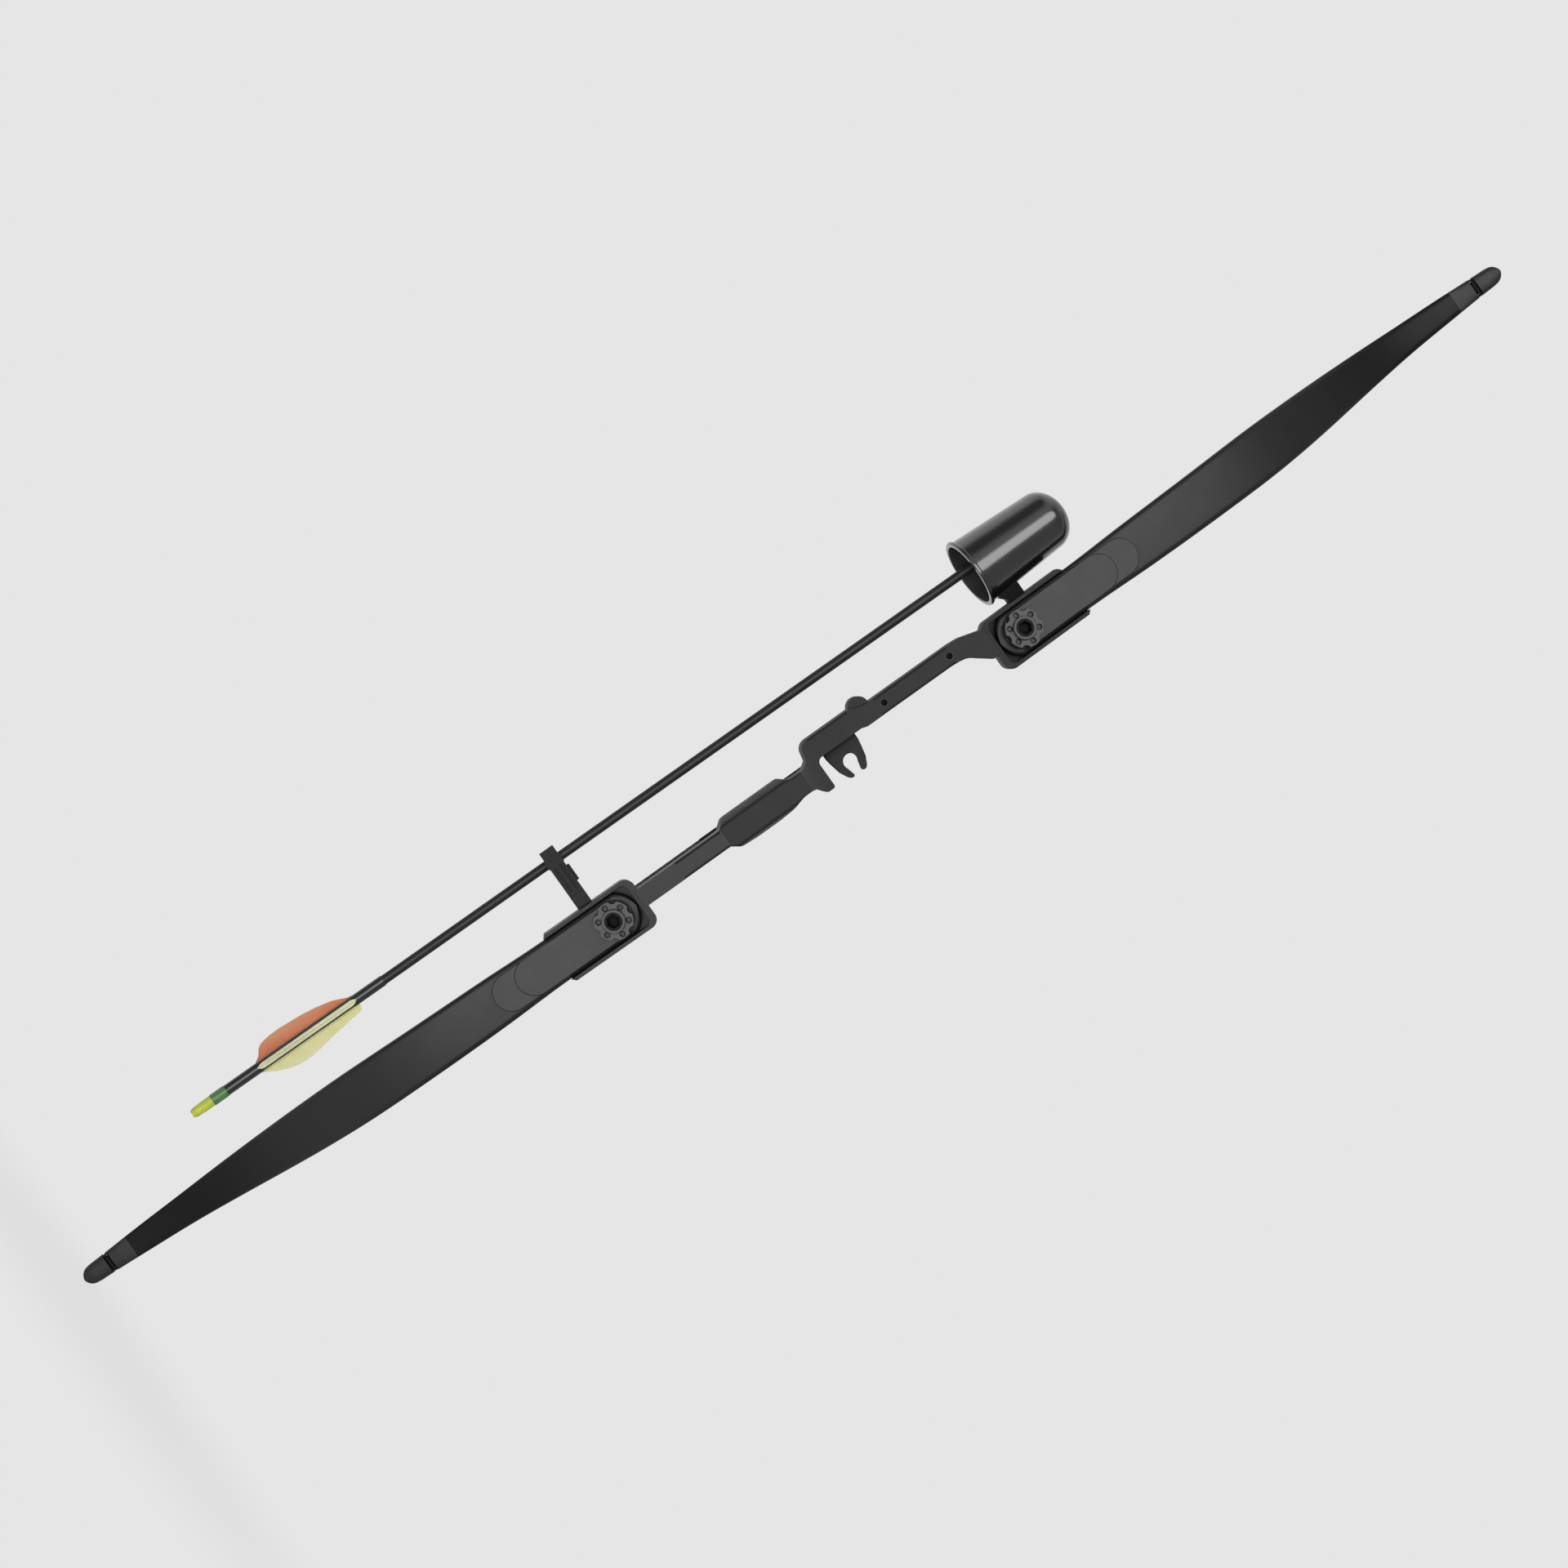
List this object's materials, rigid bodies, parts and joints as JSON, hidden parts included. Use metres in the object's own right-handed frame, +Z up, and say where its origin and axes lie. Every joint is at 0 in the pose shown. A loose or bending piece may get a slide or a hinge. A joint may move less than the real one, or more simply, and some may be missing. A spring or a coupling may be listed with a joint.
{
  "type": "recurve bow",
  "caption": "Black take-down recurve bow, strung, with a moulded grip, lobed limb knobs, a fork arrow rest and a bow quiver whose domed hood and clip arm hold a fletched arrow.",
  "frame": {"origin": "the bow's pivot point: the middle of the rear face of the throat above the grip, which the palm web meets, on the bow's centre plane", "axes": "+X right as seen from the front (the side that the sight window opens to), +Y towards the archer and the string, +Z up the bow to the upper limb tip; an arrow is shot along -Y"},
  "size_m": [0.0923, 0.1947, 1.1864],
  "materials": {
    "riser_paint": "satin charcoal paint with a fine grain",
    "grip_moulding": "matt moulded plastic",
    "dark_steel": "blackened steel",
    "insert_brass": "turned brass",
    "bright_steel": "turned steel",
    "limb_laminate": "satin black glass laminate with fine lengthwise grain",
    "overlay_laminate": "matt black laminate",
    "tip_laminate": "satin black laminate",
    "knob_plastic": "matt black moulding",
    "washer_alloy": "dark anodised",
    "rest_plastic": "matt black moulding",
    "foam": "black closed-cell foam",
    "hood_gloss": "polished black moulding",
    "bracket_plastic": "fine-grained black moulding",
    "clip_rubber": "soft black rubber",
    "shaft_carbon": "satin black carbon fibre",
    "wrap_film": "satin black film",
    "crest_green": "satin dark green film",
    "nock_lime": "translucent lime moulding",
    "vane_orange": "satin flexible moulding",
    "vane_yellow": "satin flexible moulding",
    "string_fibre": "waxed twisted fibre",
    "serving_thread": "tightly wound thread"
  },
  "bodies": {
    "bow": {"riser": "riser_paint", "grip": "grip_moulding", "sight_bushings": "dark_steel", "limb_inserts": "insert_brass", "limb_pins": "bright_steel", "upper_limb": "limb_laminate", "upper_long_overlay": "overlay_laminate", "upper_short_overlay": "overlay_laminate", "upper_tip": "tip_laminate", "lower_limb": "limb_laminate", "lower_long_overlay": "overlay_laminate", "lower_short_overlay": "overlay_laminate", "lower_tip": "tip_laminate", "rest_fork": "rest_plastic", "rest_pad": "foam", "hood": "hood_gloss", "hood_liner": "foam", "hood_bracket": "bracket_plastic", "hood_screws": "dark_steel", "bracket_screws": "dark_steel", "gripper_base": "bracket_plastic", "gripper_arm": "bracket_plastic", "gripper_lining": "clip_rubber", "gripper_screw": "dark_steel", "base_screws": "dark_steel", "bowstring": "string_fibre", "center_serving": "serving_thread", "upper_string_loop": "serving_thread", "lower_string_loop": "serving_thread", "upper_loop_serving": "serving_thread", "lower_loop_serving": "serving_thread"},
    "arrow": {"arrow_shaft": "shaft_carbon", "arrow_wrap": "wrap_film", "arrow_crest": "crest_green", "arrow_nock": "nock_lime", "arrow_point": "bright_steel", "vane_orange": "vane_orange", "vane_yellow_side": "vane_yellow", "vane_yellow_front": "vane_yellow"},
    "upper_washer": {"upper_limb_washer": "washer_alloy"},
    "upper_knob": {"upper_limb_knob": "knob_plastic", "upper_limb_bolt": "dark_steel"},
    "lower_washer": {"lower_limb_washer": "washer_alloy"},
    "lower_knob": {"lower_limb_knob": "knob_plastic", "lower_limb_bolt": "dark_steel"}
  },
  "joints": [
    {"name": "arrow_slide", "type": "slide", "parent": "bow", "child": "arrow", "axis": [-0.0066, 0, -1], "range_m": [0, 0.08]},
    {"name": "upper_bolt_lift", "type": "slide", "parent": "bow", "child": "upper_washer", "axis": [0, -0.9848, 0.1736], "range_m": [0, 0.01125]},
    {"name": "upper_bolt_turn", "type": "hinge", "parent": "upper_washer", "child": "upper_knob", "pos_m": [0, -0.0203, 0.175], "axis": [0, -0.9848, 0.1736], "range_deg": [0, 3241]},
    {"name": "lower_bolt_lift", "type": "slide", "parent": "bow", "child": "lower_washer", "axis": [0, -0.9848, -0.1736], "range_m": [0, 0.01125]},
    {"name": "lower_bolt_turn", "type": "hinge", "parent": "lower_washer", "child": "lower_knob", "pos_m": [0, -0.0203, -0.153], "axis": [0, -0.9848, -0.1736], "range_deg": [0, 3241]}
  ],
  "couplings": [
    {"joint": "upper_bolt_turn", "follows": "upper_bolt_lift", "rad_per_m": 5026.5},
    {"joint": "lower_bolt_turn", "follows": "lower_bolt_lift", "rad_per_m": 5026.5}
  ]
}
